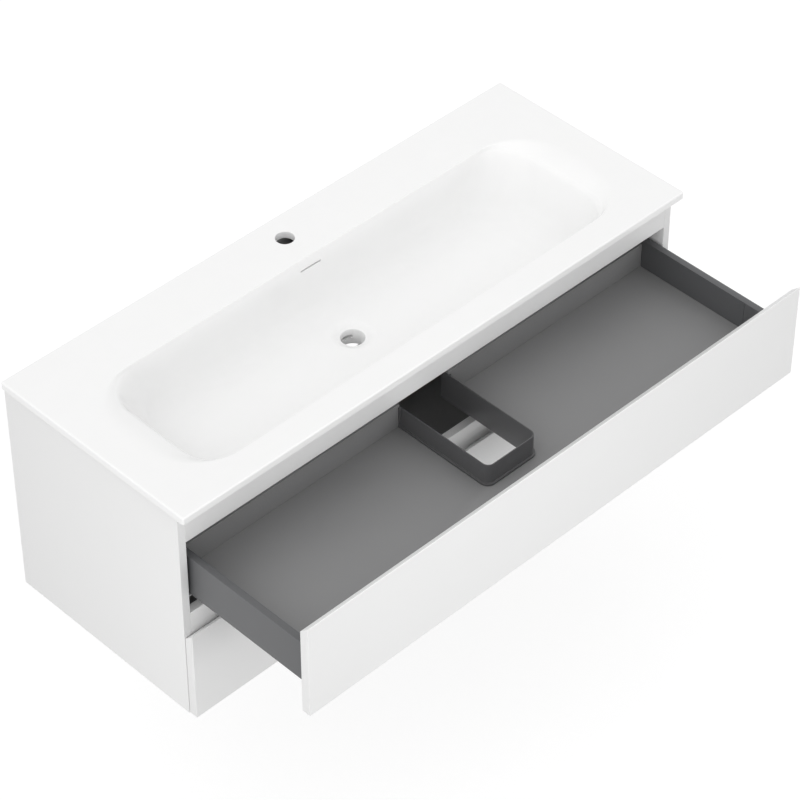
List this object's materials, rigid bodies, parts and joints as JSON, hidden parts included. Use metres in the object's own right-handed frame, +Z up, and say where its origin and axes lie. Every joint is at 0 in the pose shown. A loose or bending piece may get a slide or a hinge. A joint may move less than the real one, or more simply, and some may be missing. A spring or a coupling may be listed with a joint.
{
  "type": "vanity unit",
  "caption": "Wall-hung bathroom vanity: a long ceramic washbasin on a white cabinet with handleless drawers on full-extension runners, the upper one cut out round the siphon.",
  "frame": {"origin": "on the wall plane, in the middle of the four wall screws", "axes": "+X to the right as seen from the front, +Y into the wall, +Z up"},
  "size_m": [1.2, 0.7442, 0.482],
  "materials": {
    "glazed_ceramic": "gloss",
    "white_board": "satin",
    "drawer_steel": "satin",
    "drawer_board": "matte",
    "cap_plastic": "satin",
    "surround_plastic": "satin",
    "zinc_steel": "satin",
    "bumper_rubber": "matte"
  },
  "bodies": {
    "cabinet": {"washbasin": "glazed_ceramic", "bottom_panel": "white_board", "front_top_rail": "white_board", "front_middle_rail": "white_board", "rear_top_rail": "drawer_board", "rear_bottom_rail": "drawer_board", "hanger_screws": "zinc_steel", "runner_screws": "zinc_steel", "side_panel_left": "white_board", "side_panel_right": "white_board", "wall_plate_left": "zinc_steel", "wall_plate_right": "zinc_steel", "hanger_hook_left": "zinc_steel", "hanger_hook_right": "zinc_steel", "upper_runner_rail_left": "zinc_steel", "upper_runner_rail_right": "zinc_steel", "lower_runner_rail_left": "zinc_steel", "lower_runner_rail_right": "zinc_steel"},
    "upper_runners": {"upper_runner_middle_left": "zinc_steel", "upper_runner_middle_right": "zinc_steel"},
    "lower_runners": {"lower_runner_middle_left": "zinc_steel", "lower_runner_middle_right": "zinc_steel"},
    "upper_drawer": {"upper_drawer_front": "white_board", "upper_front_screws": "zinc_steel", "upper_front_bumpers": "bumper_rubber", "upper_drawer_floor": "drawer_board", "upper_drawer_side_left": "drawer_steel", "upper_drawer_side_right": "drawer_steel", "upper_side_cap_left": "cap_plastic", "upper_side_cap_right": "cap_plastic", "upper_front_bracket_left": "zinc_steel", "upper_front_bracket_right": "zinc_steel", "upper_runner_slide_left": "zinc_steel", "upper_runner_slide_right": "zinc_steel", "upper_drawer_back_left": "drawer_board", "upper_drawer_back_right": "drawer_board", "siphon_surround": "surround_plastic"},
    "lower_drawer": {"lower_drawer_front": "white_board", "lower_front_screws": "zinc_steel", "lower_front_bumpers": "bumper_rubber", "lower_drawer_floor": "drawer_board", "lower_drawer_side_left": "drawer_steel", "lower_drawer_side_right": "drawer_steel", "lower_side_cap_left": "cap_plastic", "lower_side_cap_right": "cap_plastic", "lower_front_bracket_left": "zinc_steel", "lower_front_bracket_right": "zinc_steel", "lower_runner_slide_left": "zinc_steel", "lower_runner_slide_right": "zinc_steel", "lower_drawer_back": "drawer_board"}
  },
  "joints": [
    {"name": "upper_drawer_slide", "type": "slide", "parent": "cabinet", "child": "upper_drawer", "axis": [0, -1, 0], "range_m": [-0.287, 0.043]},
    {"name": "upper_runner_slide", "type": "slide", "parent": "cabinet", "child": "upper_runners", "axis": [0, -1, 0], "range_m": [-0.1435, 0.0215]},
    {"name": "lower_drawer_slide", "type": "slide", "parent": "cabinet", "child": "lower_drawer", "axis": [0, -1, 0], "range_m": [0, 0.33]},
    {"name": "lower_runner_slide", "type": "slide", "parent": "cabinet", "child": "lower_runners", "axis": [0, -1, 0], "range_m": [0, 0.165]}
  ],
  "couplings": [
    {"joint": "upper_runner_slide", "follows": "upper_drawer_slide", "ratio": 0.5},
    {"joint": "lower_runner_slide", "follows": "lower_drawer_slide", "ratio": 0.5}
  ]
}
